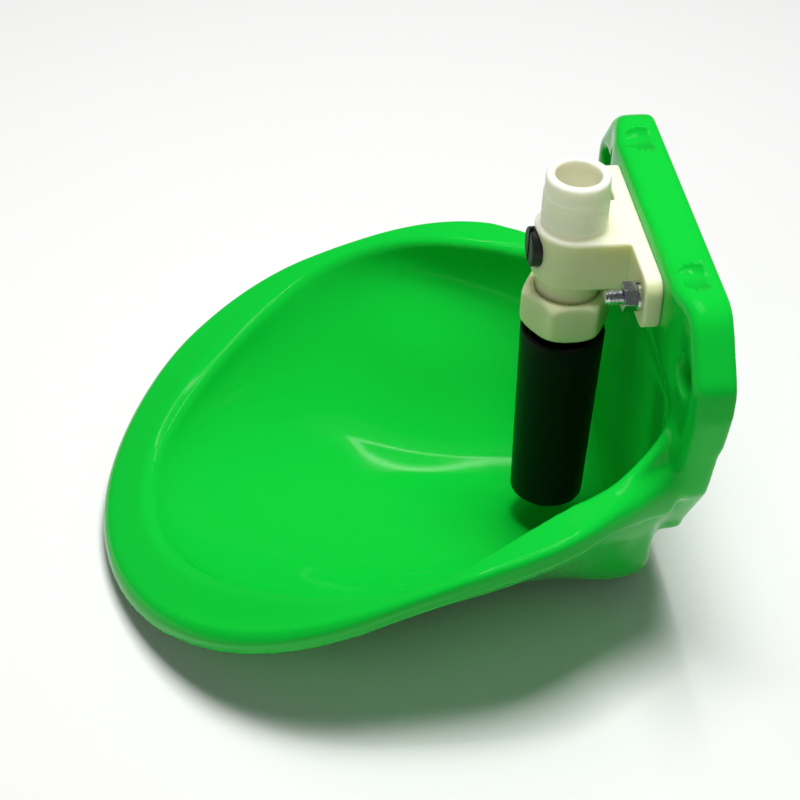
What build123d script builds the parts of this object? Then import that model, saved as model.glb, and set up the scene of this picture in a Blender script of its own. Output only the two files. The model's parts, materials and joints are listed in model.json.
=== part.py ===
"""Wall-mounted livestock drinking bowl with a push-tube valve.

Millimetres, +Z up. The wall is the plane Y = 0 and the animal stands at -Y.
The origin is the middle of the two wall-bolt holes, on the wall plane.
"""
import math
import os
from build123d import *

os.makedirs("parts", exist_ok=True)

# ------------------------------------------------------------ driving dimensions: bowl
wall = 3.2                      # moulded wall of the bowl and the back plate
plate_depth = 16.5              # wall plane to the plate's front face
pad_rise = 3.0                  # how far the valve's pad stands out of the plate
pad_half_width = 50.0
pad_bottom = -9.0
pad_slope = 14.0                # width of the slopes round the pad
plate_top = 28.2                # top edge above the wall bolts
plate_top_x = 68.0              # half length of the top edge
plate_half_width = 86.6
plate_shoulder = (4.0, -10.0)   # upper and lower end of the vertical side edge
plate_knee = (74.0, -56.0)      # where the tapered side edge meets the lower slope
plate_foot = (46.0, -98.0)      # lower corner
plate_corner_radius = 11.0
plate_top_radius = 17.0         # of the two top corners
plate_edge_round = 5.0
wall_hole_spacing = 140.0
wall_hole_radius = 7.5
wall_boss_radius = 11.5
sprue_disc_x = 47.0             # two round sprue discs on the top edge
sprue_disc_y = -9.6
sprue_disc_radius = 7.2
sprue_groove = 0.9
rib_thickness = 2.6             # ribs in the plate's hollow back
rib_x = 42.0
rib_z = -34.0

rim_tip = 229.5                 # front tip of the lip, from the wall plane
rim_half_width = 112.5
rim_widest = 132.0              # distance of the widest place from the wall plane
rim_waist = (100.8, 52.0)       # a point of the lip's edge behind the widest place
rim_root_x = 75.0               # half width of the lip where it meets the plate
root_slope = 0.55               # how fast lip and basin still widen there
rim_root_z = -45.0              # about the lip's height there
rim_heights = (                 # the lip's face seen from the side: distance from the wall, height
    (229.5, -117.0),
    (184.0, -94.0),
    (132.0, -68.7),
    (77.0, -50.5),
    (40.0, -45.6),
    (0.0, -44.5),
)
lip_round = 6.0                 # roll of the lip's outer edge
skirt_depth = 10.2
skirt_root_extra = 9.0          # how much deeper the skirt is at the plate
skirt_flare_y = -46.0           # where the skirt starts to deepen towards the plate

opening_tip = 213.0             # front of the opening, from the wall plane
opening_half_width = 105.5
opening_widest = 125.0
opening_waist = (88.0, 62.0)
opening_root_x = 61.0
floor_z = -126.5                # inside floor of the basin
basin_levels = (                # height over the floor, half width, length, setback at the rear
    (0.0, 30.0, 112.0, 17.5),
    (2.5, 41.0, 142.0, 7.5),
    (9.5, 56.0, 175.0, 1.5),
    (18.5, 69.0, 193.5, 0.0),
    (34.0, 86.0, 196.0, 0.0),
    (61.0, 104.0, 196.5, 0.0),
    (106.5, 105.5, 196.5, 0.0),
)
horn_top_z = -26.0              # gussets that rise from the opening's edge to the plate
horn_start_y = -50.0
horn_thickness = 5.0
horn_head_slope = (-0.6, -1.0)  # direction of the crest where it leaves the plate
horn_foot_slope = (-1.0, -0.3)  # and where it runs into the lip

# ------------------------------------------------------------ driving dimensions: valve
axis_offset = 26.1              # valve's pad to the valve's axis
spigot_radius = 13.22           # G 3/4 male thread, major radius
spigot_top = 44.3
spigot_bore = 9.0
spigot_chamfer = 1.0
barrel_radius = 15.0
barrel_top = 21.5
barrel_round = 1.0
neck_radius = 12.6              # threaded neck that carries the union nut
neck_end = -14.5
flange_thickness = 6.7
flange_half_width = 42.5
flange_half_height = 11.2
flange_corner_radius = 6.0
bolt_spacing = 67.0
inlet_floor = 18.5
passage_radius = 3.2
chamber_top = 3.5
chamber_radius = 8.0
seat_pocket_radius = 9.4
seat_thickness = 3.0
seat_bore = 4.2
seat_lip = 0.5
seat_lip_width = 1.2
seat_seal_wire = 0.6

regulator_z = 11.4
regulator_head_radius = 7.8
regulator_head_thickness = 4.1
regulator_shank_radius = 5.4
regulator_reach = 9.0           # shank beyond the valve's axis
regulator_chamfer = 0.4
regulator_slot_width = 2.4
regulator_slot_depth = 1.6
regulator_seal_wire = 0.7
regulator_seal_in = 3.4         # from the head's seat to the middle of the seal

nut_flats = 32.0
nut_corner_radius = 18.0
nut_height = 17.0
nut_floor = 3.5
nut_bore = 9.6                  # hole in the nut's floor
nut_chamfer = 2.0
tilt_room = 6.7                 # neck's end to the nut's floor

slip_ring_thickness = 0.8
collar_radius = 11.0
collar_thickness = 2.2
collar_neck_radius = 6.8
collar_neck_wall = 1.6
collar_port_radius = 1.2
collar_port_circle = 3.5
collar_ports = 4
spider_height = 8.0
spider_drop = 4.0               # tube's top edge to the spider's top
spider_ring_wall = 1.6
spider_web = 2.0
spider_webs = 3
tube_gap = 3.3                  # union nut to the tube's top edge
tube_length = 83.0
tube_top_radius = 16.9
tube_bottom_radius = 14.8
tube_wall = 2.4
tube_edge_chamfer = 0.8

stem_radius = 1.9
plunger_head_radius = 5.6
plunger_head_thickness = 1.6
seal_thickness = 2.0
retainer_radius = 3.3
retainer_thickness = 0.8
stem_guide = 7.0                # stem above the plunger's head, inside the spring
spring_radius = 3.4
spring_wire = 0.4
spring_turns = 4
cup_radius = 5.6
cup_thickness = 0.8
cup_lip = 1.2
strainer_height = 9.0
strainer_radius = 6.4
strainer_wall = 0.9
strainer_band = 1.8             # plain band above and below the slots
strainer_slot = 1.4
strainer_slots = 8

# ------------------------------------------------------------ driving dimensions: fasteners
bolt_radius = 3.0               # M6
bolt_length = 25.0
bolt_head_height = 4.0
fastener_flats = 10.0
fastener_nut_height = 5.0
washer_radius = 6.0
washer_thickness = 1.6
spring_washer_radius = 5.9
spring_washer_thickness = 1.6
spring_washer_split = 1.2
bolt_chamfer = 0.6

hole_clearance = 0.3            # a bolt in its hole, all round
turn_clearance = 0.3            # what turns or slides in a bore
fit_clearance = 0.1             # what is screwed, pressed or glued in place
lift_gap = 0.3                  # plunger's tip above the collar at rest

# ------------------------------------------------------------ derived places
plate_front = -plate_depth
plate_inner = wall - plate_depth
pad_front = plate_front - pad_rise
pad_inner = plate_inner - pad_rise
axis_y = pad_front - axis_offset
axis_plane = Plane.XZ.offset(-axis_y)
valve_axis = Axis((0, axis_y, 0), (0, 0, 1))
flange_front = pad_front - flange_thickness
flange_z = barrel_top - flange_half_height
nut_shoulder = neck_end - tilt_room
nut_bottom = nut_shoulder - nut_floor
nut_top = nut_bottom + nut_height
slip_ring_top = nut_shoulder + slip_ring_thickness
collar_top = slip_ring_top + collar_thickness
tube_top = nut_bottom - tube_gap
tube_bottom = tube_top - tube_length
spider_top = tube_top - spider_drop
spider_bottom = spider_top - spider_height
seat_top = neck_end + seat_thickness
seal_bottom = seat_top + seat_lip
seal_top = seal_bottom + seal_thickness
head_top = seal_top + plunger_head_thickness
stem_tip = collar_top + lift_gap
regulator_seat_y = axis_y - math.sqrt(barrel_radius**2 - regulator_head_radius**2)
regulator_end_y = axis_y + regulator_reach
regulator_seal_y = regulator_seat_y + regulator_seal_in
bolt_xs = (-bolt_spacing / 2, bolt_spacing / 2)
wall_hole_xs = (-wall_hole_spacing / 2, wall_hole_spacing / 2)
far = 2 * rim_half_width        # longer than anything it cuts


def from_wall(y):
    """Sketch plane at a Y; a positive extrusion goes towards the animal."""
    return Plane.XZ.offset(-y)


def turn(*outline, mode=Mode.ADD):
    """Revolve a closed (radius, height) outline about the valve's axis."""
    with BuildSketch(axis_plane) as section:
        with BuildLine():
            Polyline(*outline, close=True)
        make_face()
    revolve(section.sketch, axis=valve_axis, mode=mode)


def ring_section(radius, height, wire, sides=8):
    """Outline of an O-ring's section: a small polygon, so that the ring stays light."""
    turns = [2 * math.pi * side / sides for side in range(sides)]
    return [(radius + wire * math.cos(a), height + wire * math.sin(a)) for a in turns]


def bowl_plan(half_width, widest_y, tip_y, waist, root):
    """Plan of the lip or the basin: half an ellipse in front, drawn in to the plate behind."""
    with BuildLine() as plan:
        front = EllipticalCenterArc((0, widest_y), half_width, widest_y - tip_y, 180, arc_size=180)
        right = Spline(front @ 1, waist, root, tangents=((0, 1), (-root_slope, 1)))
        left = Spline(front @ 0, (-waist[0], waist[1]), (-root[0], root[1]),
                      tangents=((0, 1), (root_slope, 1)))
        Line(right @ 1, left @ 1)
    make_face(plan.edges())


def lip_plan(inset=0.0):
    bowl_plan(rim_half_width - inset, -rim_widest, inset - rim_tip,
              (rim_waist[0] - inset, -rim_waist[1]), (rim_root_x - inset, plate_inner))


def basin_plan(half_width, length, setback, grow=0.0):
    """Plan of the basin at one of its levels, let out by `grow`."""
    wide = half_width / opening_half_width
    long = length / (opening_tip - plate_depth)
    rear_y = plate_front - setback
    waist_y = rear_y - (opening_waist[1] - plate_depth) * long
    bowl_plan(half_width + grow, rear_y - (opening_widest - plate_depth) * long,
              rear_y - length - grow, (opening_waist[0] * wide + grow, waist_y),
              (opening_root_x * wide + grow, rear_y + grow))


def basin(grow=0.0):
    """Loft through the basin's levels: the cavity, or with `grow` its outside."""
    sections = []
    for height, half_width, length, setback in basin_levels:
        with BuildSketch(Plane.XY.offset(floor_z + height - grow)) as section:
            basin_plan(half_width, length, setback, grow)
        sections.append(section.sketch)
    loft(sections)


def rim_line(drop=0.0):
    """The lip's face seen from the side, lowered by `drop` and run on past the tip."""
    tip, after = rim_heights[0], rim_heights[1]
    run_on = (2 * tip[0] - after[0], 2 * tip[1] - after[1])
    return Spline(*[(-y, z - drop) for y, z in (run_on, *rim_heights)])


def rim_band(top_drop, bottom_drop):
    """Keep only a band of the current part that follows the lip."""
    with BuildSketch(Plane.YZ) as band:
        with BuildLine():
            upper = rim_line(top_drop)
            lower = rim_line(bottom_drop)
            Line(upper @ 0, lower @ 0)
            Line(upper @ 1, lower @ 1)
        make_face()
        with BuildLine():
            flare_z = rim_heights[-2][1] - bottom_drop
            flare_top = flare_z + skirt_depth / 2
            flare_foot = flare_z - skirt_root_extra
            Polyline((skirt_flare_y, flare_z), (skirt_flare_y, flare_top), (0, flare_top),
                     (0, flare_foot), (plate_front, flare_foot), close=True)
        make_face()
    extrude(band.sketch, amount=far, both=True, mode=Mode.INTERSECT)


def plate_outline():
    """The back plate seen from the front: a shield with a straight top edge."""
    right = ((plate_top_x, plate_top), (plate_half_width, plate_shoulder[0]),
             (plate_half_width, plate_shoulder[1]), plate_knee, plate_foot)
    with BuildLine() as outline:
        Polyline(*right, *[(-x, z) for x, z in reversed(right)], close=True)
    make_face(outline.edges())
    corners = vertices().sort_by(Axis.Y)
    fillet(corners[:-2], radius=plate_corner_radius)
    fillet(vertices().sort_by(Axis.Y)[-2:], radius=plate_top_radius)


def pad_form(foot_y):
    """The valve's pad: a flat field with sloped flanks that rises from the plane Y = foot_y."""
    fields = []
    for lift, spread in ((0, pad_slope), (pad_rise, 0)):
        with BuildSketch(from_wall(foot_y - lift)) as field:
            with Locations((0, (plate_top + pad_bottom) / 2)):
                Rectangle(2 * (pad_half_width + spread), plate_top - pad_bottom + 2 * spread)
        fields.append(field.sketch)
    loft(fields)


# ------------------------------------------------------------ bowl moulding
with BuildPart() as cavity:
    basin()

with BuildPart() as lip_core:
    with BuildSketch(Plane.XY.offset(floor_z - wall)):
        lip_plan(inset=wall)
    extrude(amount=far)
    rim_band(wall, skirt_depth + 2 * wall)

with BuildPart() as lip:
    with BuildSketch(Plane.XY.offset(floor_z - wall)):
        lip_plan()
    extrude(amount=far)
    rim_band(0, skirt_depth)
    crest = lip.faces().filter_by(lambda face: face.normal_at().Z > 0.3).edges()
    fillet(crest.filter_by(lambda edge: edge.center().Y < plate_front and abs(edge.center().X) > lip_round),
           radius=lip_round)
    add(lip_core.part, mode=Mode.SUBTRACT)
    add(cavity.part, mode=Mode.SUBTRACT)

with BuildPart() as horns:
    with BuildSketch(Plane.XY.offset(rim_heights[2][1])):
        basin_plan(opening_half_width, opening_tip - plate_depth, 0, grow=horn_thickness)
    extrude(amount=far)
    with BuildSketch(Plane.YZ):
        with BuildLine():
            foot_z = rim_heights[-2][1] - wall
            foot = Line((horn_start_y, foot_z), (plate_inner, foot_z))
            back = Line(foot @ 1, (plate_inner, horn_top_z))
            head = Line(back @ 1, (plate_front, horn_top_z))
            Spline(head @ 1, foot @ 0, tangents=(horn_head_slope, horn_foot_slope))
        make_face()
    extrude(amount=far, both=True, mode=Mode.INTERSECT)
    add(cavity.part, mode=Mode.SUBTRACT)

with BuildPart() as shell:
    basin(grow=wall)
    with BuildSketch(Plane.YZ):
        with BuildLine():
            crest = rim_line()
            Polyline(crest @ 1, (0, floor_z - far), (-rim_tip - far, floor_z - far),
                     (-rim_tip - far, rim_heights[0][1] - far), crest @ 0)
        make_face()
    extrude(amount=far, both=True, mode=Mode.INTERSECT)
    add(cavity.part, mode=Mode.SUBTRACT)

with BuildPart() as pad:
    pad_form(plate_front)
    with BuildSketch(from_wall(0)):
        plate_outline()
    extrude(amount=far, mode=Mode.INTERSECT)

with BuildPart() as pad_hollow:
    pad_form(plate_inner)
    with BuildSketch(from_wall(0)):
        plate_outline()
        offset(amount=-wall, mode=Mode.REPLACE)
    extrude(amount=far, mode=Mode.INTERSECT)

with BuildPart() as bowl:
    with BuildSketch(from_wall(0)):
        plate_outline()
    extrude(amount=plate_depth)
    add(pad.part)
    fillet(bowl.faces().filter_by(lambda face: face.center().Y < plate_inner).edges()
           .filter_by(lambda edge: edge.center().Z > rim_root_z), radius=plate_edge_round)
    with BuildSketch(from_wall(0)):
        plate_outline()
        offset(amount=-wall, mode=Mode.REPLACE)
    extrude(amount=-plate_inner, mode=Mode.SUBTRACT)
    add(pad_hollow.part, mode=Mode.SUBTRACT)
    with BuildSketch(from_wall(0)):
        with Locations((-rib_x, (rib_z + plate_foot[1]) / 2), (rib_x, (rib_z + plate_foot[1]) / 2)):
            Rectangle(rib_thickness, rib_z - plate_foot[1] - wall)
        with Locations((0, rib_z)):
            Rectangle(2 * (plate_knee[0] + wall), rib_thickness)
        with Locations(*[(x, 0) for x in wall_hole_xs]):
            Circle(wall_boss_radius)
    extrude(amount=-plate_inner)
    add(lip.part)
    add(horns.part)
    add(shell.part)
    with BuildSketch(from_wall(0)):
        with Locations(*[(x, 0) for x in wall_hole_xs]):
            Circle(wall_hole_radius)
        with Locations(*[(x, flange_z) for x in bolt_xs]):
            Circle(bolt_radius + hole_clearance)
    extrude(amount=-pad_front, mode=Mode.SUBTRACT)
    with BuildSketch(Plane.XY.offset(plate_top)):
        with Locations((-sprue_disc_x, sprue_disc_y), (sprue_disc_x, sprue_disc_y)):
            Circle(sprue_disc_radius)
            Circle(sprue_disc_radius - sprue_groove, mode=Mode.SUBTRACT)
    extrude(amount=-sprue_groove, mode=Mode.SUBTRACT)
bowl.part.label = "bowl"
export_step(bowl.part, "parts/bowl.step")

# ------------------------------------------------------------ valve body and its seat
with BuildPart() as valve_body:
    with BuildSketch(Plane.XY):
        with Locations((0, axis_y)):
            Circle(barrel_radius)
        with Locations((0, (axis_y + pad_front) / 2)):
            Rectangle(2 * barrel_radius, axis_offset)
    extrude(amount=barrel_top)
    fillet(valve_body.faces().sort_by(Axis.Z)[-1].edges(), radius=barrel_round)
    with BuildSketch(from_wall(pad_front)):
        with Locations((0, flange_z)):
            RectangleRounded(2 * flange_half_width, 2 * flange_half_height, flange_corner_radius)
    extrude(amount=flange_thickness)
    turn((0, barrel_top / 2), (0, neck_end), (neck_radius, neck_end), (neck_radius, barrel_top / 2))
    turn((0, barrel_top / 2), (0, spigot_top), (spigot_radius - spigot_chamfer, spigot_top),
         (spigot_radius, spigot_top - spigot_chamfer), (spigot_radius, barrel_top / 2))
    turn((0, spigot_top), (spigot_bore, spigot_top), (spigot_bore, inlet_floor),
         (passage_radius, inlet_floor), (passage_radius, chamber_top), (chamber_radius, chamber_top),
         (chamber_radius, seat_top), (seat_pocket_radius, seat_top), (seat_pocket_radius, neck_end),
         (0, neck_end), mode=Mode.SUBTRACT)
    with BuildSketch(from_wall(regulator_end_y + turn_clearance)):
        with Locations((0, regulator_z)):
            Circle(regulator_shank_radius + turn_clearance)
    extrude(amount=barrel_radius + axis_offset, mode=Mode.SUBTRACT)
    with BuildSketch(from_wall(regulator_seat_y)):
        with Locations((0, regulator_z)):
            Circle(regulator_head_radius + turn_clearance)
    extrude(amount=barrel_radius, mode=Mode.SUBTRACT)
    with BuildSketch(from_wall(pad_front)):
        with Locations(*[(x, flange_z) for x in bolt_xs]):
            Circle(bolt_radius + hole_clearance)
    extrude(amount=flange_thickness, mode=Mode.SUBTRACT)
valve_body.part.label = "valve_body"
export_step(valve_body.part, "parts/valve_body.step")

with BuildPart() as valve_seat:
    rim = seat_pocket_radius - fit_clearance
    groove = rim - 2 * seat_seal_wire + fit_clearance
    middle = (neck_end + seat_top) / 2
    turn((seat_bore, neck_end), (rim, neck_end), (rim, middle - seat_seal_wire),
         (groove, middle - seat_seal_wire), (groove, middle + seat_seal_wire),
         (rim, middle + seat_seal_wire), (rim, seat_top), (seat_bore + seat_lip_width, seat_top),
         (seat_bore + seat_lip_width, seal_bottom), (seat_bore, seal_bottom))
valve_seat.part.label = "valve_seat"
export_step(valve_seat.part, "parts/valve_seat.step")

with BuildPart() as seat_o_ring:
    middle = (neck_end + seat_top) / 2
    turn(*ring_section(seat_pocket_radius - seat_seal_wire, middle, seat_seal_wire))
seat_o_ring.part.label = "seat_o_ring"
export_step(seat_o_ring.part, "parts/seat_o_ring.step")

with BuildPart() as inlet_strainer:
    cap = inlet_floor + strainer_height
    foot = spigot_bore - fit_clearance
    turn((strainer_radius - strainer_wall, inlet_floor), (foot, inlet_floor),
         (foot, inlet_floor + strainer_wall), (strainer_radius, inlet_floor + strainer_wall),
         (strainer_radius, cap), (0, cap), (0, cap - strainer_wall),
         (strainer_radius - strainer_wall, cap - strainer_wall))
    with BuildSketch(Plane.XY.offset(inlet_floor + strainer_band)):
        with Locations((0, axis_y)):
            with PolarLocations(strainer_radius - strainer_wall / 2, strainer_slots):
                Rectangle(3 * strainer_wall, strainer_slot)
    extrude(amount=strainer_height - 2 * strainer_band, mode=Mode.SUBTRACT)
inlet_strainer.part.label = "inlet_strainer"
export_step(inlet_strainer.part, "parts/inlet_strainer.step")

# ------------------------------------------------------------ flow regulator
with BuildPart() as regulator_plug:
    with BuildSketch(from_wall(regulator_seat_y)):
        with Locations((0, regulator_z)):
            Circle(regulator_head_radius)
    extrude(amount=regulator_head_thickness)
    chamfer(regulator_plug.faces().sort_by(Axis.Y)[0].edges(), length=regulator_chamfer)
    with BuildSketch(from_wall(regulator_end_y)):
        with Locations((0, regulator_z)):
            Circle(regulator_shank_radius)
    extrude(amount=regulator_end_y - regulator_seat_y)
    with BuildSketch(from_wall(regulator_seal_y + regulator_seal_wire)):
        with Locations((0, regulator_z)):
            Circle(regulator_shank_radius)
            Circle(regulator_shank_radius - 2 * regulator_seal_wire, mode=Mode.SUBTRACT)
    extrude(amount=2 * regulator_seal_wire, mode=Mode.SUBTRACT)
    with BuildSketch(Plane.XY.offset(regulator_z - regulator_shank_radius)):
        with Locations((0, axis_y)):
            Circle(passage_radius)
    extrude(amount=2 * regulator_shank_radius, mode=Mode.SUBTRACT)
    with BuildSketch(from_wall(regulator_seat_y - regulator_head_thickness + regulator_slot_depth)):
        with Locations((0, regulator_z)):
            Rectangle(regulator_slot_width, 2 * regulator_head_radius)
    extrude(amount=regulator_slot_depth, mode=Mode.SUBTRACT)
regulator_plug.part.label = "regulator_plug"
export_step(regulator_plug.part, "parts/regulator_plug.step")

with BuildPart() as regulator_o_ring:
    middle = regulator_shank_radius - regulator_seal_wire
    with BuildSketch(Plane.YZ):
        with BuildLine():
            Polyline(*[(regulator_seal_y + across, regulator_z + out)
                       for out, across in ring_section(middle, 0, regulator_seal_wire)], close=True)
        make_face()
    revolve(axis=Axis((0, 0, regulator_z), (0, 1, 0)))
regulator_o_ring.part.label = "regulator_o_ring"
export_step(regulator_o_ring.part, "parts/regulator_o_ring.step")

# ------------------------------------------------------------ plunger
with BuildPart() as plunger:
    with BuildSketch(axis_plane):
        with BuildLine():
            Polyline((0, stem_tip), (0, head_top + stem_guide), (stem_radius, head_top + stem_guide),
                     (stem_radius, head_top), (plunger_head_radius, head_top),
                     (plunger_head_radius, seal_top), (stem_radius, seal_top),
                     (stem_radius, stem_tip + stem_radius))
            CenterArc((0, stem_tip + stem_radius), stem_radius, -90, 90)
        make_face()
    revolve(axis=valve_axis)
plunger.part.label = "plunger"
export_step(plunger.part, "parts/plunger.step")

with BuildPart() as plunger_seal:
    inner = stem_radius + fit_clearance
    turn((inner, seal_bottom), (plunger_head_radius, seal_bottom), (plunger_head_radius, seal_top),
         (inner, seal_top))
plunger_seal.part.label = "plunger_seal"
export_step(plunger_seal.part, "parts/plunger_seal.step")

with BuildPart() as seal_retainer:
    inner = stem_radius + fit_clearance
    turn((inner, seal_bottom - retainer_thickness), (retainer_radius, seal_bottom - retainer_thickness),
         (retainer_radius, seal_bottom), (inner, seal_bottom))
seal_retainer.part.label = "seal_retainer"
export_step(seal_retainer.part, "parts/seal_retainer.step")

with BuildPart() as spring_cup:
    inner = spring_radius + spring_wire + fit_clearance
    under = chamber_top - cup_thickness
    turn((passage_radius, under), (inner, under), (inner, under - cup_lip),
         (cup_radius, under - cup_lip), (cup_radius, chamber_top), (passage_radius, chamber_top))
spring_cup.part.label = "spring_cup"
export_step(spring_cup.part, "parts/spring_cup.step")

with BuildPart() as valve_spring:
    low = head_top + spring_wire
    high = chamber_top - cup_thickness - spring_wire
    with BuildLine():
        coil = Helix(pitch=(high - low) / spring_turns, height=high - low, radius=spring_radius,
                     center=(0, axis_y, low))
    with BuildSketch(Plane(origin=coil @ 0, z_dir=coil % 0)):
        RegularPolygon(spring_wire, 6)
    sweep(path=coil, is_frenet=True)
valve_spring.part.label = "valve_spring"
export_step(valve_spring.part, "parts/valve_spring.step")

# ------------------------------------------------------------ union nut, collar and push tube
with BuildPart() as union_nut:
    with BuildSketch(Plane.XY.offset(nut_bottom)):
        with Locations((0, axis_y)):
            RegularPolygon(nut_flats / 2, 6, major_radius=False, rotation=30)
            Circle(nut_corner_radius, mode=Mode.INTERSECT)
    extrude(amount=nut_height)
    across = nut_flats / 2
    for end, slope in ((nut_bottom, nut_chamfer), (nut_top, -nut_chamfer)):
        turn((across, end), (2 * across, end), (2 * across, end + slope * across / 2), mode=Mode.SUBTRACT)
    thread = neck_radius + fit_clearance
    turn((0, nut_bottom), (nut_bore, nut_bottom), (nut_bore, nut_shoulder), (thread, nut_shoulder),
         (thread, nut_top), (0, nut_top), mode=Mode.SUBTRACT)
union_nut.part.label = "union_nut"
export_step(union_nut.part, "parts/union_nut.step")

with BuildPart() as slip_ring:
    outer = neck_radius - turn_clearance
    inner = nut_bore + turn_clearance
    turn((inner, nut_shoulder), (outer, nut_shoulder), (outer, slip_ring_top), (inner, slip_ring_top))
slip_ring.part.label = "slip_ring"
export_step(slip_ring.part, "parts/slip_ring.step")


def tube_radius(z):
    """Outer radius of the tapered tube at a height."""
    return tube_top_radius - (tube_top_radius - tube_bottom_radius) * (tube_top - z) / tube_length


with BuildPart() as tube_collar:
    neck_bore = collar_neck_radius - collar_neck_wall
    turn((0, slip_ring_top), (0, collar_top), (collar_radius, collar_top), (collar_radius, slip_ring_top),
         (collar_neck_radius, slip_ring_top), (collar_neck_radius, spider_bottom),
         (neck_bore, spider_bottom), (neck_bore, slip_ring_top))
    ring_top = tube_radius(spider_top) - tube_wall - fit_clearance
    ring_bottom = tube_radius(spider_bottom) - tube_wall - fit_clearance
    ring_bore = ring_bottom - spider_ring_wall
    turn((ring_top, spider_top), (ring_bottom, spider_bottom), (ring_bore, spider_bottom),
         (ring_bore, spider_top))
    web_start = neck_bore + collar_neck_wall / 2
    web_end = ring_bore + spider_ring_wall / 2
    with BuildSketch(Plane.XY.offset(spider_bottom)):
        with Locations((0, axis_y)):
            with PolarLocations((web_start + web_end) / 2, spider_webs):
                Rectangle(web_end - web_start, spider_web)
    extrude(amount=spider_height)
    with BuildSketch(Plane.XY.offset(slip_ring_top)):
        with Locations((0, axis_y)):
            with PolarLocations(collar_port_circle, collar_ports):
                Circle(collar_port_radius)
    extrude(amount=collar_thickness, mode=Mode.SUBTRACT)
tube_collar.part.label = "tube_collar"
export_step(tube_collar.part, "parts/tube_collar.step")

with BuildPart() as push_tube:
    turn((tube_top_radius, tube_top), (tube_bottom_radius, tube_bottom),
         (tube_bottom_radius - tube_wall, tube_bottom), (tube_top_radius - tube_wall, tube_top))
    chamfer(push_tube.edges().filter_by(GeomType.CIRCLE), length=tube_edge_chamfer)
push_tube.part.label = "push_tube"
export_step(push_tube.part, "parts/push_tube.step")

# ------------------------------------------------------------ fasteners of the valve flange
with BuildPart() as mounting_bolts:
    for x in bolt_xs:
        head_y = pad_inner + washer_thickness
        with BuildSketch(from_wall(head_y + bolt_head_height)):
            with Locations((x, flange_z)):
                RegularPolygon(fastener_flats / 2, 6, major_radius=False)
        extrude(amount=bolt_head_height)
        with BuildSketch(from_wall(head_y)):
            with Locations((x, flange_z)):
                Circle(bolt_radius)
        extrude(amount=bolt_length)
    chamfer(mounting_bolts.faces().sort_by(Axis.Y)[:2].edges(), length=bolt_chamfer)
mounting_bolts.part.label = "mounting_bolts"
export_step(mounting_bolts.part, "parts/mounting_bolts.step")

with BuildPart() as back_washers:
    with BuildSketch(from_wall(pad_inner + washer_thickness)):
        with Locations(*[(x, flange_z) for x in bolt_xs]):
            Circle(washer_radius)
            Circle(bolt_radius + fit_clearance, mode=Mode.SUBTRACT)
    extrude(amount=washer_thickness)
back_washers.part.label = "back_washers"
export_step(back_washers.part, "parts/back_washers.step")

with BuildPart() as spring_washers:
    with BuildSketch(from_wall(flange_front)):
        with Locations(*[(x, flange_z) for x in bolt_xs]):
            Circle(spring_washer_radius)
            Circle(bolt_radius + fit_clearance, mode=Mode.SUBTRACT)
        with Locations(*[(x, flange_z + spring_washer_radius) for x in bolt_xs]):
            Rectangle(spring_washer_split, 2 * (spring_washer_radius - bolt_radius), mode=Mode.SUBTRACT)
    extrude(amount=spring_washer_thickness)
spring_washers.part.label = "spring_washers"
export_step(spring_washers.part, "parts/spring_washers.step")

with BuildPart() as fixing_nuts:
    with BuildSketch(from_wall(flange_front - spring_washer_thickness)):
        with Locations(*[(x, flange_z) for x in bolt_xs]):
            RegularPolygon(fastener_flats / 2, 6, major_radius=False)
            Circle(bolt_radius + fit_clearance, mode=Mode.SUBTRACT)
    extrude(amount=fastener_nut_height)
fixing_nuts.part.label = "fixing_nuts"
export_step(fixing_nuts.part, "parts/fixing_nuts.step")
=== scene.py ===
# %% [markdown]
# # A livestock drinking bowl, dressed for the studio
#
# The object is a wall-mounted drinking bowl: a green moulded bowl with its back plate, and a valve
# that opens when an animal pushes the black tube. The solids come from the CAD frame. Here they get
# rounded edges, threads and finishes, a studio floor and soft light.

# %% Load the frame
import json
import math

import bmesh
import bpy
from mathutils import Matrix, Vector


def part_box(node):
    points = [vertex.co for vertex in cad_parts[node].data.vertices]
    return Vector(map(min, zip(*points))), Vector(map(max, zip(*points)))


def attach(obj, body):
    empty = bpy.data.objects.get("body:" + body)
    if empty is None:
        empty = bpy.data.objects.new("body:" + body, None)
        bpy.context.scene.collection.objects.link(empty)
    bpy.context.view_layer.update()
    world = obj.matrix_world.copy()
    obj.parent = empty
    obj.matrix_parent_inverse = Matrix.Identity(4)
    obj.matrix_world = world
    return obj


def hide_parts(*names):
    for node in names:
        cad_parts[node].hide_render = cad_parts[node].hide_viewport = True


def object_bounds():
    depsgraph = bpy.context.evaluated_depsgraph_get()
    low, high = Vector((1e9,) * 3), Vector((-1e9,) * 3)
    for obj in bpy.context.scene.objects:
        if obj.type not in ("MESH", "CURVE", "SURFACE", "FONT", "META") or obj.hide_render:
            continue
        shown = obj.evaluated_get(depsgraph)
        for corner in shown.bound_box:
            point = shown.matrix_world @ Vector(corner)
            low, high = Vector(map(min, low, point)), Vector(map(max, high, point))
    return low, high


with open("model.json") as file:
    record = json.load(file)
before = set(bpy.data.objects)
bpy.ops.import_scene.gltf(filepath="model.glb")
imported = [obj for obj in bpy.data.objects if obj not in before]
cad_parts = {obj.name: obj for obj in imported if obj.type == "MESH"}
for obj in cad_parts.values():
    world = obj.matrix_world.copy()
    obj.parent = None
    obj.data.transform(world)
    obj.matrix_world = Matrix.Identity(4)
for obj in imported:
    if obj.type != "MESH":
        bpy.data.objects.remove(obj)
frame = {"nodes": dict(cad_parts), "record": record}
cad_box = [list(corner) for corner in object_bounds()]
MM = 0.001

# %% [markdown]
# ## Camera
#
# The camera looks down on the bowl from its right-hand side with a long lens, and it leans a little,
# so upright things lean to the right. A place, two view angles and a roll say it all: the matrix is
# a turn about Z, a tilt about X and then the roll about the camera's own axis.

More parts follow.
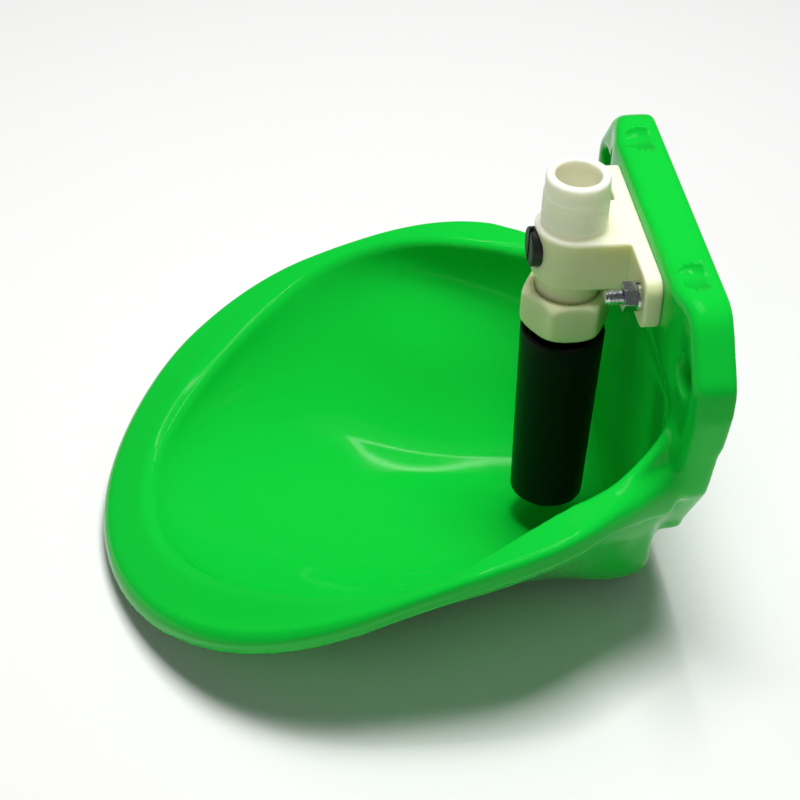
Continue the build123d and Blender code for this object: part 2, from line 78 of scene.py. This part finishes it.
# %% Camera
CAMERA_PLACE = Vector((0.73764, -0.24126, 0.54344))
CAMERA_AZIMUTH = math.radians(79.861)
CAMERA_ELEVATION = math.radians(38.905)
CAMERA_ROLL = math.radians(3.207)
CAMERA_LENS = 108.0

camera_data = bpy.data.cameras.new("camera")
camera_data.lens = CAMERA_LENS
camera_data.sensor_width = 36.0
camera_data.clip_start = 0.01
camera = bpy.data.objects.new("camera", camera_data)
bpy.context.collection.objects.link(camera)
camera.matrix_world = (
    Matrix.Translation(CAMERA_PLACE)
    @ Matrix.Rotation(CAMERA_AZIMUTH, 4, "Z")
    @ Matrix.Rotation(math.pi / 2 - CAMERA_ELEVATION, 4, "X")
    @ Matrix.Rotation(CAMERA_ROLL, 4, "Z")
)
bpy.context.scene.camera = camera
print("camera at", tuple(round(v, 3) for v in CAMERA_PLACE))

# %% [markdown]
# ## Shader maths as expressions
#
# A material is easier to read as a formula than as a list of linked nodes. `Value` wraps an output
# socket and turns `+`, `-` and `*` into Math nodes; `Finish` makes a material and adds any other node.


# %% Shader helpers
class Value:
    """An output socket that carries a number, with arithmetic."""

    def __init__(self, finish, socket):
        self.finish = finish
        self.socket = socket

    def _math(self, operation, first, second):
        return self.finish.add("Math", {"operation": operation}, {0: first, 1: second}).value()

    def __add__(self, other):
        return self._math("ADD", self, other)

    def __sub__(self, other):
        return self._math("SUBTRACT", self, other)

    def __mul__(self, other):
        return self._math("MULTIPLY", self, other)

    __radd__ = __add__
    __rmul__ = __mul__


class Node:
    """A shader node, with short ways to its outputs."""

    def __init__(self, finish, node):
        self.finish = finish
        self.node = node

    def out(self, name=0):
        return self.node.outputs[name]

    def value(self, name=0):
        return Value(self.finish, self.out(name))


class Finish:
    """A material with a Principled surface."""

    def __init__(self, name, **constants):
        self.material = bpy.data.materials.new(name)
        self.material.use_nodes = True
        self.tree = self.material.node_tree
        self.surface = self.tree.nodes["Principled BSDF"]
        self.place = self.add("TexCoord").out("Object")
        for socket, number in constants.items():
            self.surface.inputs[socket.replace("_", " ")].default_value = number

    def add(self, kind, settings=None, inputs=None):
        node = self.tree.nodes.new("ShaderNode" + kind)
        for key, setting in (settings or {}).items():
            setattr(node, key, setting)
        for key, source in (inputs or {}).items():
            self.feed(node.inputs[key], source)
        return Node(self, node)

    def feed(self, socket, source):
        if isinstance(source, Value):
            source = source.socket
        if isinstance(source, bpy.types.NodeSocket):
            self.tree.links.new(source, socket)
        else:
            socket.default_value = source

    def noise(self, scale, detail=3.0, roughness=0.5):
        node = self.add("TexNoise", {}, {
            "Vector": self.place, "Scale": scale, "Detail": detail, "Roughness": roughness,
        })
        return node.value("Fac")

    def blend(self, amount, first, second):
        mix = self.add("Mix", {"data_type": "RGBA"}, {
            "Factor": amount, "A": (*first, 1.0), "B": (*second, 1.0),
        })
        return mix.out("Result")

    def colour(self, source):
        self.feed(self.surface.inputs["Base Color"], source)

    def rough(self, source):
        self.feed(self.surface.inputs["Roughness"], source)

    def bump(self, height, strength, distance):
        node = self.add("Bump", {}, {"Height": height, "Strength": strength, "Distance": distance})
        self.feed(self.surface.inputs["Normal"], node.out("Normal"))


print("helpers ready")

# %% [markdown]
# ## Finishes
#
# The bowl is a glossy injection-moulded plastic: even colour, faint flow marks and a surface that is
# never quite flat, which is what breaks up its reflections. The valve is the milky natural plastic
# that lets some light in, and painted light makes its spigot paler upwards. The tube is black, the
# fasteners are zinc plated.

# %% Bowl plastic
bowl_plastic = Finish("bowl_plastic", Specular_IOR_Level=0.13)
flow = bowl_plastic.noise(9.0, 4.0)
speckle = bowl_plastic.noise(260.0, 2.0)
bowl_plastic.colour(bowl_plastic.blend(flow, (0.0030, 0.49, 0.032), (0.0050, 0.56, 0.042)))
bowl_plastic.rough(0.05 + flow * 0.06 + speckle * 0.03)
bowl_plastic.bump(flow * 0.8 + speckle * 0.02, 0.35, 0.0012)
print(bowl_plastic.material.name)

# %% Valve plastic
valve_plastic = Finish(
    "valve_plastic", Subsurface_Weight=0.7, Subsurface_Scale=0.010, Subsurface_Radius=(1.0, 0.9, 0.6),
)
cloud = valve_plastic.noise(70.0, 3.0)
grain = valve_plastic.noise(900.0, 2.0)
valve_height = valve_plastic.add("SeparateXYZ", {}, {0: valve_plastic.place}).value("Z")
SPIGOT_FOOT = 0.0195            # where the thick barrel ends and the spigot starts; the painted light begins here
PALING = 400.0                  # share of the paler painted light gained in each metre of height
# Painted light: from the spigot's foot upwards the colour turns paler and whiter, standing in for the
# light that makes the spigot look bright.
spigot_painted_light = (valve_height - SPIGOT_FOOT) * PALING
spigot_painted_light = valve_plastic.add("Clamp", {}, {"Value": spigot_painted_light}).value()
solid_colour = valve_plastic.blend(cloud, (0.68, 0.69, 0.38), (0.76, 0.77, 0.47))
valve_plastic.colour(valve_plastic.add(
    "Mix", {"data_type": "RGBA"}, {"Factor": spigot_painted_light, "A": solid_colour, "B": (0.96, 0.94, 0.72, 1.0)},
).out("Result"))
valve_plastic.rough(0.33 + cloud * 0.12)
valve_plastic.bump(cloud * 0.5 + grain * 0.1, 0.25, 0.0004)
print(valve_plastic.material.name)

# %% Black plastic, rubber and acetal
tube_plastic = Finish("tube_plastic", Specular_IOR_Level=0.12)
sheen = tube_plastic.noise(120.0, 3.0)
tube_plastic.colour(tube_plastic.blend(sheen, (0.0035, 0.0038, 0.0036), (0.0075, 0.0080, 0.0076)))
tube_plastic.rough(0.30 + sheen * 0.14)
tube_plastic.bump(sheen, 0.15, 0.0003)

black_plastic = Finish("black_plastic")
black_cloud = black_plastic.noise(300.0, 3.0)
black_plastic.colour(black_plastic.blend(black_cloud, (0.006, 0.0065, 0.0065), (0.014, 0.015, 0.015)))
black_plastic.rough(0.38 + black_cloud * 0.2)
black_plastic.bump(black_cloud, 0.2, 0.0002)

rubber = Finish("rubber")
rubber_grain = rubber.noise(1500.0, 2.0)
rubber.colour(rubber.blend(rubber_grain, (0.010, 0.010, 0.010), (0.022, 0.022, 0.022)))
rubber.rough(0.55 + rubber_grain * 0.2)
rubber.bump(rubber_grain, 0.3, 0.0001)

acetal = Finish("acetal", Subsurface_Weight=0.2, Subsurface_Scale=0.002)
acetal_cloud = acetal.noise(200.0, 2.0)
acetal.colour(acetal.blend(acetal_cloud, (0.76, 0.75, 0.70), (0.84, 0.83, 0.79)))
acetal.rough(0.35 + acetal_cloud * 0.1)
acetal.bump(acetal_cloud, 0.15, 0.0002)
print("plastics ready")

# %% Metals
zinc_plated = Finish("zinc_plated", Metallic=1.0)
crystal = zinc_plated.noise(700.0, 3.0)
zinc_plated.colour(zinc_plated.blend(crystal, (0.52, 0.54, 0.56), (0.78, 0.80, 0.82)))
zinc_plated.rough(0.16 + crystal * 0.16)
zinc_plated.bump(crystal, 0.12, 0.0001)

brass = Finish("brass", Metallic=1.0)
turning = brass.noise(900.0, 2.0)
brass.colour(brass.blend(turning, (0.62, 0.42, 0.14), (0.78, 0.58, 0.24)))
brass.rough(0.22 + turning * 0.15)
brass.bump(turning, 0.1, 0.0001)

spring_steel = Finish("spring_steel", Metallic=1.0)
draw = spring_steel.noise(1200.0, 2.0)
spring_steel.colour(spring_steel.blend(draw, (0.42, 0.43, 0.44), (0.60, 0.61, 0.62)))
spring_steel.rough(0.25 + draw * 0.15)
spring_steel.bump(draw, 0.1, 0.0001)
print("metals ready")

# %% [markdown]
# ## Dress the CAD nodes
#
# A CAD node's mesh stays as it is, but modifiers may finish it. Weld closes its loose triangles, a
# small Bevel rounds its sharp edges as a mould does, and the shading is smoothed by angle.

# %% Finishes on the nodes
FINISHES = {
    "bowl_plastic": bowl_plastic, "valve_plastic": valve_plastic, "tube_plastic": tube_plastic,
    "black_plastic": black_plastic, "rubber": rubber, "acetal": acetal, "zinc_plated": zinc_plated,
    "brass": brass, "spring_steel": spring_steel,
}
SLOT_OF = {row["node"]: row["material_slot"] for row in frame["record"]["subparts"]}


def round_edges(piece, edge_round, corner=35.0, segments=3):
    """Weld a piece, round its sharp edges and smooth its shading."""
    weld = piece.modifiers.new("weld", "WELD")
    weld.merge_threshold = 0.00001
    if edge_round:
        bevel = piece.modifiers.new("edges", "BEVEL")
        bevel.width = edge_round
        bevel.segments = segments
        bevel.limit_method = "ANGLE"
        bevel.angle_limit = math.radians(corner)
        bevel.harden_normals = False
    piece.data.shade_smooth()
    smooth = piece.modifiers.new("normals", "WEIGHTED_NORMAL")
    smooth.keep_sharp = True


def dress(node, edge_round):
    """Give a CAD node its finish, and round its edges."""
    piece = frame["nodes"][node]
    piece.data.materials.clear()
    piece.data.materials.append(FINISHES[SLOT_OF[node]].material)
    round_edges(piece, edge_round)


EDGE_ROUND = {"bowl": 0.6 * MM, "valve_body": 0.5 * MM, "union_nut": 1.3 * MM, "regulator_plug": 0.2 * MM,
              "push_tube": 0.0, "tube_collar": 0.2 * MM}
for node_name in frame["nodes"]:
    dress(node_name, EDGE_ROUND.get(node_name, 0.12 * MM))
print("dressed", len(frame["nodes"]), "nodes")

# %% [markdown]
# ## The bowl's moulded skin
#
# On the real bowl nothing is sharp: the lip is rolled, the horns melt into the plate, and the plate's
# front edge is a soft bend. A bevel can't do this, because it rounds every edge alike and stops at
# the first small triangle. So the solid is rebuilt from small even voxels, and then only the places
# near a crease are relaxed, a little far from it and a lot on it. The distance to the nearest crease
# comes from a k-d tree.

# %% Merged copy of a node
from mathutils.kdtree import KDTree


def merged_copy(node, name):
    """A bmesh of a CAD node's mesh with its loose triangles joined."""
    bm = bmesh.new()
    bm.from_mesh(frame["nodes"][node].data)
    bmesh.ops.remove_doubles(bm, verts=bm.verts, dist=0.005 * MM)
    print(name, "merged to", len(bm.verts), "points")
    return bm


def new_piece(bm, name, finish, body):
    """Turn a bmesh into a piece with a finish that rides on a body."""
    mesh = bpy.data.meshes.new(name)
    bm.to_mesh(mesh)
    bm.free()
    piece = bpy.data.objects.new(name, mesh)
    bpy.context.collection.objects.link(piece)
    mesh.materials.append(FINISHES[finish].material)
    for face in mesh.polygons:
        face.use_smooth = True
    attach(piece, body)
    return piece


# %% Where the bowl is creased
CREASE_ANGLE = math.radians(24)
CREASE_STEP = 1.0 * MM
PLATE_FRONT = -16.5 * MM


def crease_tree(bm, wanted):
    """A k-d tree of points along the sharp edges for which wanted(middle, outwards) is true."""
    points = []
    for edge in bm.edges:
        if len(edge.link_faces) != 2 or edge.calc_face_angle() < CREASE_ANGLE:
            continue
        start, end = (vert.co for vert in edge.verts)
        outwards = (edge.link_faces[0].normal + edge.link_faces[1].normal).normalized()
        if wanted((start + end) / 2, outwards):
            steps = max(1, math.ceil((end - start).length / CREASE_STEP))
            points += [start.lerp(end, step / steps) for step in range(steps + 1)]
    tree = KDTree(len(points))
    for index, point in enumerate(points):
        tree.insert(point, index)
    tree.balance()
    print("crease points", len(points))
    return tree


bowl_bm = merged_copy("bowl", "bowl")
bowl_bm.normal_update()


def on_opening(middle, outwards):
    """The opening's inner edge, the horns' crests and the folds between horn, lip and plate."""
    return middle.y > -0.216 and abs(middle.x) < 0.1065 and outwards.z > 0.1 and middle.z < -0.024


WALL_HOLE_X = 70.0 * MM
HOLE_REACH = 12.0 * MM


def on_plate_front(middle, outwards):
    """The folds in front of the plate, apart from the rims of the wall holes."""
    if math.hypot(abs(middle.x) - WALL_HOLE_X, middle.z) < HOLE_REACH:
        return False
    return middle.y < PLATE_FRONT + 6 * MM and outwards.y < -0.2 and middle.y > -0.05


opening_creases = crease_tree(bowl_bm, on_opening)
plate_creases = crease_tree(bowl_bm, on_plate_front)

# %% Rebuild the bowl from voxels
VOXEL = 0.95 * MM



def applied(mesh_object, name):
    """The object's mesh with its modifiers applied, as a bmesh; the object is removed."""
    bpy.context.view_layer.update()
    shown = mesh_object.evaluated_get(bpy.context.evaluated_depsgraph_get())
    bm = bmesh.new()
    bm.from_mesh(shown.to_mesh())
    shown.to_mesh_clear()
    bpy.data.objects.remove(mesh_object)
    print(name, len(bm.faces), "faces")
    return bm


def plain_object(bm, name):
    """An object for a modifier, made from a bmesh."""
    mesh = bpy.data.meshes.new(name)
    bm.to_mesh(mesh)
    bm.free()
    made = bpy.data.objects.new(name, mesh)
    bpy.context.collection.objects.link(made)
    return made


def smooth_points(bm, points, passes):
    """Move each point half-way to the middle of its neighbours, a few times."""
    for _ in range(passes):
        bmesh.ops.smooth_vert(
            bm, verts=points, factor=0.5, use_axis_x=True, use_axis_y=True, use_axis_z=True,
        )


def voxel_skin(bm, name, voxel, passes):
    """The solid rebuilt from even voxels and smoothed a few times."""
    block = plain_object(bm, name)
    remesh = block.modifiers.new("voxels", "REMESH")
    remesh.mode = "VOXEL"
    remesh.voxel_size = voxel
    remesh.adaptivity = 0.0
    skin = applied(block, name)
    smooth_points(skin, skin.verts, passes)
    return skin


SMOOTH_PASSES = 10
skin_bm = voxel_skin(bowl_bm, "bowl skin", VOXEL, SMOOTH_PASSES)

# %% Relax the creases
BLEND_PASSES = 9                # hides where the relaxed places end
RELAX_STEPS = ((7.0, 9), (5.5, 10), (4.0, 14), (2.5, 14))      # reach in mm, passes


def relax(bm, tree, steps):
    """Smooth the points near a crease, the nearest ones most often."""
    near = [(vert, tree.find(vert.co)[2]) for vert in bm.verts]
    for reach, passes in steps:
        chosen = [vert for vert, distance in near if distance is not None and distance < reach * MM]
        smooth_points(bm, chosen, passes)


relax(skin_bm, opening_creases, RELAX_STEPS)
relax(skin_bm, plate_creases, RELAX_STEPS)
smooth_points(skin_bm, skin_bm.verts, BLEND_PASSES)

# %% [markdown]
# ## Shape the skin
#
# A sculptor would now push the clay a little here and there. In a script that is a formula for each
# push: how far, in which direction, and a soft weight that fades to nothing at its edges. Three
# pushes are needed. The lip's outer roll gets a fuller crest, the foot behind the basin gets squarer,
# and the basin's flanks are drawn in above the table.


# %% Soft weights
def fade(value, start, end):
    """0 before start and 1 after end, smooth between, also where start is above end."""
    share = min(1.0, max(0.0, (value - start) / (end - start)))
    return share * share * (3 - 2 * share)


BASIN_MIDDLE = Vector((0.0, -0.115, -0.085))

# %% Fuller crest on the lip
CREST_PUSH = 2.0 * MM
LIP_FACE = Vector((0.0, -0.42, 0.908))

skin_bm.normal_update()
moves = []
for vert in skin_bm.verts:
    away = Vector((vert.co.x, vert.co.y - BASIN_MIDDLE.y, 0.0)).normalized()
    outward, upward = vert.normal.dot(away), vert.normal.dot(LIP_FACE)
    if outward > 0.05 and upward > 0.05 and vert.co.y < -0.03:
        weight = min(1.0, 4 * outward * outward * upward * upward) * fade(vert.co.y, -0.03, -0.05)
        weight *= fade(vert.co.y, -0.225, -0.185)
        moves.append((vert, vert.normal * CREST_PUSH * weight))
for vert, move in moves:
    vert.co += move
print("crest moved", len(moves), "points")

# %% Squarer foot behind the basin
FOOT_MIDDLE = Vector((0.0, -0.065, -0.09))
FOOT_BACK = 3.5 * MM
FOOT_SPREAD = 0.26
FOOT_LIMIT = -0.5 * MM
FLANK_DRAW = 0.09
FLANK_Y = -82.0 * MM
FLANK_REACH = 48.0 * MM

for vert in skin_bm.verts:
    x, y, z = vert.co
    if z > -0.07 or y < -0.14:
        continue
    flank = fade(abs(y - FLANK_Y), FLANK_REACH, 0.0) * fade(z, -0.072, -0.1)
    vert.co.x = x * (1 - FLANK_DRAW * flank)
    if vert.normal.dot(vert.co - FOOT_MIDDLE) > 0:
        low = fade(z, -0.085, -0.128)
        back = fade(y, -0.055, -0.02)
        vert.co.x *= 1 + FOOT_SPREAD * low * back
        shift = FOOT_BACK * fade(z, -0.098, -0.125) * fade(y, -0.05, -0.015)
        vert.co.y = max(y, min(y + shift, FOOT_LIMIT))
print("foot and flanks shaped")

# %% Sprue pockets
# The mould's two gates left shallow round pockets in the plate's top. The cutter is a little tilted,
# so the step is deeper at the front; at the back the pocket runs out unevenly.
POCKET_X = 47.0 * MM
POCKET_Y = -9.6 * MM
POCKET_RADIUS = 7.2 * MM
POCKET_TILT = math.radians(5.0)
POCKET_DEPTH = 0.9 * MM
POCKET_HEIGHT = 10.0 * MM
POCKET_SEGMENTS = 64
PLATE_TOP = 28.2 * MM

for side in (-1, 1):
    cutter_bm = bmesh.new()
    bmesh.ops.create_cone(
        cutter_bm, cap_ends=True, segments=POCKET_SEGMENTS,
        radius1=POCKET_RADIUS, radius2=POCKET_RADIUS, depth=POCKET_HEIGHT,
    )
    bmesh.ops.translate(cutter_bm, verts=cutter_bm.verts, vec=(0, 0, POCKET_HEIGHT / 2 - POCKET_DEPTH / 2))
    bmesh.ops.rotate(cutter_bm, verts=cutter_bm.verts, matrix=Matrix.Rotation(POCKET_TILT, 3, "X"))
    bmesh.ops.translate(cutter_bm, verts=cutter_bm.verts, vec=(side * POCKET_X, POCKET_Y, PLATE_TOP))
    cutter = plain_object(cutter_bm, "pocket cutter")
    block = plain_object(skin_bm, "skin block")
    cut = block.modifiers.new("pocket", "BOOLEAN")
    cut.operation = "DIFFERENCE"
    cut.solver = "EXACT"
    cut.object = cutter
    skin_bm = applied(block, "pocketed skin")
    bpy.data.objects.remove(cutter)

# %% Bowl skin piece
SKIN_SHARE = 0.33                # keeps the skin under 200,000 triangles

bowl_skin = new_piece(skin_bm, "bowl_skin", "bowl_plastic", "housing")
thinned = bowl_skin.modifiers.new("thinned", "DECIMATE")
thinned.ratio = SKIN_SHARE
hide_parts("bowl")
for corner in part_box("bowl"):
    print("bowl box", tuple(round(v, 4) for v in corner))
print(bowl_skin.name, len(bowl_skin.data.polygons), "faces")

# %% [markdown]
# ## Threads
#
# The inlet spigot has a G 3/4 pipe thread, with a pitch of 1.814 mm. It is drawn shallower than the
# standard depth of 1.16 mm and only on the lower part, because it shows only faintly there. The bolts
# are M6 in the solids; their thread is drawn coarser and 0.35 mm prouder than a real M6 thread, so it
# is a look and not a measure. Each cylinder of the solids shrinks to the ridge's root, a helical ridge
# is wound on it, and voxels join the two.

# %% Helical ridge
RIDGE_STEPS = 40        # sections in one turn


def wind_ridge(bm, place, axis, start, end, root, crest, pitch):
    """Add a helical ridge round an axis to a bmesh, from start to end along the axis."""
    axis = Vector(axis)
    across = axis.orthogonal().normalized()
    turns = (end - start) / pitch - 1
    count = int(turns * RIDGE_STEPS)
    section = ((root - 0.25 * pitch, -0.46), (crest, -0.10), (crest, 0.10), (root - 0.25 * pitch, 0.46))
    rings = []
    for step in range(count + 1):
        angle = 2 * math.pi * step / RIDGE_STEPS
        grown = min(1.0, step / RIDGE_STEPS * 2, (count - step) / RIDGE_STEPS * 2)
        outwards = Matrix.Rotation(angle, 3, axis) @ across
        along = start + pitch / 2 + pitch * step / RIDGE_STEPS
        ring = []
        for radius, height in section:
            reach = min(radius, root - 0.02 * pitch + (crest - root) * grown)
            ring.append(bm.verts.new(Vector(place) + outwards * reach + axis * (along + height * pitch)))
        rings.append(ring)
    faces = []
    for first, second in zip(rings, rings[1:]):
        for index in range(4):
            after = (index + 1) % 4
            faces.append(bm.faces.new((first[index], first[after], second[after], second[index])))
    faces.append(bm.faces.new(rings[0][::-1]))
    faces.append(bm.faces.new(rings[-1]))
    bmesh.ops.recalc_face_normals(bm, faces=faces)


def shrink_round(bm, place, axis, start, end, radius, smaller):
    """Move the points on a cylinder of one radius to a smaller one."""
    axis = Vector(axis)
    moved = 0
    for vert in bm.verts:
        offset = vert.co - Vector(place)
        along = offset.dot(axis)
        flat = offset - axis * along
        if start - 0.05 * MM < along < end + 0.05 * MM and abs(flat.length - radius) < 0.06 * MM:
            vert.co = Vector(place) + axis * along + flat.normalized() * smaller
            moved += 1
    print("shrunk", moved, "points")


# %% Valve body with its pipe thread
tube_low, tube_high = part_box("push_tube")
AXIS_Y = (tube_low[1] + tube_high[1]) / 2
VALVE_AXIS = (0.0, AXIS_Y, 0.0)
UPWARDS = (0.0, 0.0, 1.0)
SPIGOT_RADIUS = 13.22 * MM
SPIGOT_ROOT = 12.55 * MM          # shallower than the standard 12.06 mm, see above
SPIGOT_TOP = 44.3 * MM
SPIGOT_END_RADIUS = 12.22 * MM
BARREL_TOP = 21.5 * MM
SPIGOT_END_STEP = 0.5 * MM
PIPE_PITCH = 1.814 * MM
THREAD_FOOT = 0.8 * MM            # plain length below the thread
THREAD_END = 7.0 * MM             # plain length above it

VALVE_VOXEL = 0.55 * MM
VALVE_PASSES = 3
NUT_VOXEL = 0.5 * MM
NUT_PASSES = 14

valve_bm = merged_copy("valve_body", "valve body")
shrink_round(valve_bm, VALVE_AXIS, UPWARDS, BARREL_TOP, SPIGOT_TOP, SPIGOT_RADIUS, SPIGOT_ROOT)
shrink_round(valve_bm, VALVE_AXIS, UPWARDS, SPIGOT_TOP, SPIGOT_TOP,
             SPIGOT_END_RADIUS, SPIGOT_ROOT - SPIGOT_END_STEP)
wind_ridge(valve_bm, VALVE_AXIS, UPWARDS, BARREL_TOP + THREAD_FOOT, SPIGOT_TOP - THREAD_END,
           SPIGOT_ROOT, SPIGOT_RADIUS, PIPE_PITCH)
valve_bm = voxel_skin(valve_bm, "valve shell", VALVE_VOXEL, VALVE_PASSES)
valve_shell = new_piece(valve_bm, "valve_shell", "valve_plastic", "housing")
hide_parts("valve_body")

nut_bm = voxel_skin(merged_copy("union_nut", "union nut"), "nut shell", NUT_VOXEL, NUT_PASSES)
nut_shell = new_piece(nut_bm, "nut_shell", "valve_plastic", "housing")
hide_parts("union_nut")

# %% Bolts with their threads
BOLT_XS = (-33.5 * MM, 33.5 * MM)
BOLT_Z = 10.3 * MM
BOLT_RADIUS = 3.0 * MM
BOLT_ROOT = 2.6 * MM
BOLT_CREST = 3.35 * MM
BOLT_PITCH = 1.25 * MM
BOLT_THREAD = 14.0 * MM
BOLT_PLAIN_END = 0.4 * MM
BOLT_VOXEL = 0.2 * MM
FORWARDS = (0.0, -1.0, 0.0)

bolt_end = -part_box("mounting_bolts")[0][1]
bolts_bm = merged_copy("mounting_bolts", "bolts")
for bolt_x in BOLT_XS:
    bolt_axis = (bolt_x, 0.0, BOLT_Z)
    shrink_round(bolts_bm, bolt_axis, FORWARDS, 0.0, bolt_end, BOLT_RADIUS, BOLT_ROOT)
    wind_ridge(bolts_bm, bolt_axis, FORWARDS, bolt_end - BOLT_THREAD, bolt_end - BOLT_PLAIN_END,
               BOLT_ROOT, BOLT_CREST, BOLT_PITCH)
bolts_bm = voxel_skin(bolts_bm, "threaded bolts", BOLT_VOXEL, 1)
threaded_bolts = new_piece(bolts_bm, "threaded_bolts", "zinc_plated", "housing")
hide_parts("mounting_bolts")

# %% [markdown]
# ## Studio
#
# The bowl stands on a pale surface, which takes its shadow. One soft lamp hangs nearly straight above
# it and a weak one fills from the front right. Neither is seen in reflections; a frame of four strips
# is what the glossy bowl reflects instead.

# %% Floor
floor_z = cad_box[0][2]
floor_mesh = bpy.data.meshes.new("floor")
floor_bm = bmesh.new()
bmesh.ops.create_grid(floor_bm, x_segments=1, y_segments=1, size=4.0)
bmesh.ops.translate(floor_bm, verts=floor_bm.verts, vec=(0, 0, floor_z - 0.02 * MM))
floor_bm.to_mesh(floor_mesh)
floor_bm.free()
floor = bpy.data.objects.new("floor", floor_mesh)
bpy.context.collection.objects.link(floor)
studio_floor = Finish("studio_floor", Roughness=0.6, Specular_IOR_Level=0.2)
studio_floor.surface.inputs["Base Color"].default_value = (0.86, 0.86, 0.85, 1.0)
floor_mesh.materials.append(studio_floor.material)

# Far from the bowl, where the lamp doesn't reach, the camera sees the backdrop's own pale colour.
BACKDROP = (0.83, 0.83, 0.82, 1.0)
FADE_START = 0.45               # metres from the bowl
FADE_SLOPE = 1.6                # share of backdrop gained in each metre
away = studio_floor.add("VectorMath", {"operation": "LENGTH"}, {0: studio_floor.place}).value("Value")
far_off = studio_floor.add("Clamp", {}, {"Value": (away - FADE_START) * FADE_SLOPE}).value()
seen = studio_floor.add("LightPath").value("Is Camera Ray")
plain = studio_floor.add("Emission", {}, {"Color": BACKDROP})
both = studio_floor.add("MixShader", {}, {
    0: far_off * seen, 1: studio_floor.surface.outputs[0], 2: plain.out(),
})
studio_floor.tree.links.new(both.out(), studio_floor.tree.nodes["Material Output"].inputs["Surface"])
print("floor at", round(floor_z, 4))

# %% World
world = bpy.data.worlds.new("studio")
bpy.context.scene.world = world
world.use_nodes = True
world.node_tree.nodes["Background"].inputs["Color"].default_value = (0.95, 0.97, 1.0, 1.0)
WORLD_STRENGTH = 0.10

# The camera sees the pale backdrop; the object is lit by, and reflects, the dim world alone.
backdrop = world.node_tree.nodes["Background"]
backdrop.inputs["Strength"].default_value = WORLD_STRENGTH
seen_world = world.node_tree.nodes.new("ShaderNodeBackground")
seen_world.inputs["Color"].default_value = BACKDROP
ray = world.node_tree.nodes.new("ShaderNodeLightPath")
choice = world.node_tree.nodes.new("ShaderNodeMixShader")
world.node_tree.links.new(ray.outputs["Is Camera Ray"], choice.inputs[0])
world.node_tree.links.new(backdrop.outputs[0], choice.inputs[1])
world.node_tree.links.new(seen_world.outputs[0], choice.inputs[2])
world.node_tree.links.new(choice.outputs[0], world.node_tree.nodes["World Output"].inputs["Surface"])


# %% Lamps
def softbox(name, place, target, width, height, power, reflected=True):
    """A rectangular area lamp that points at a target."""
    data = bpy.data.lights.new(name, "AREA")
    data.shape = "RECTANGLE"
    data.size = width
    data.size_y = height
    data.energy = power
    lamp = bpy.data.objects.new(name, data)
    bpy.context.collection.objects.link(lamp)
    aim = (Vector(target) - Vector(place)).to_track_quat("-Z", "Y")
    lamp.matrix_world = Matrix.Translation(place) @ aim.to_matrix().to_4x4()
    lamp.visible_glossy = reflected
    return lamp


BOWL_MIDDLE = (0.0, -0.12, -0.08)
softbox("key", (-0.05, -0.02, 1.18), (0.0, -0.12, -0.08), 0.5, 0.5, 16.0, reflected=False)
softbox("fill", (1.1, -0.9, 0.8), BOWL_MIDDLE, 0.9, 0.9, 2.4, reflected=False)

# A frame of four thin strips for the bowl to reflect. Together they have about a quarter of the
# key lamp's power, so they light the scene a little too.
FRAME_MIDDLE = Vector((-0.42, -0.18, 1.15))
FRAME_HALF_X = 0.32
FRAME_HALF_Y = 0.24
STRIP_WIDTH = 0.024
STRIP_POWER = 1.7               # for each metre of its length
for index, (dx, dy) in enumerate(((1, 0), (-1, 0), (0, 1), (0, -1))):
    place = FRAME_MIDDLE + Vector((dx * FRAME_HALF_X, dy * FRAME_HALF_Y, 0.0))
    length = 2 * (FRAME_HALF_Y if dx else FRAME_HALF_X)
    size_x, size_y = (length, STRIP_WIDTH) if dy else (STRIP_WIDTH, length)
    below = place - Vector((0, 0, 1))
    strip = softbox(f"strip {index}", place, below, size_x, size_y, STRIP_POWER * length)
    strip.matrix_world = Matrix.Translation(place)
bpy.context.scene.view_settings.view_transform = "Standard"
print("studio ready")
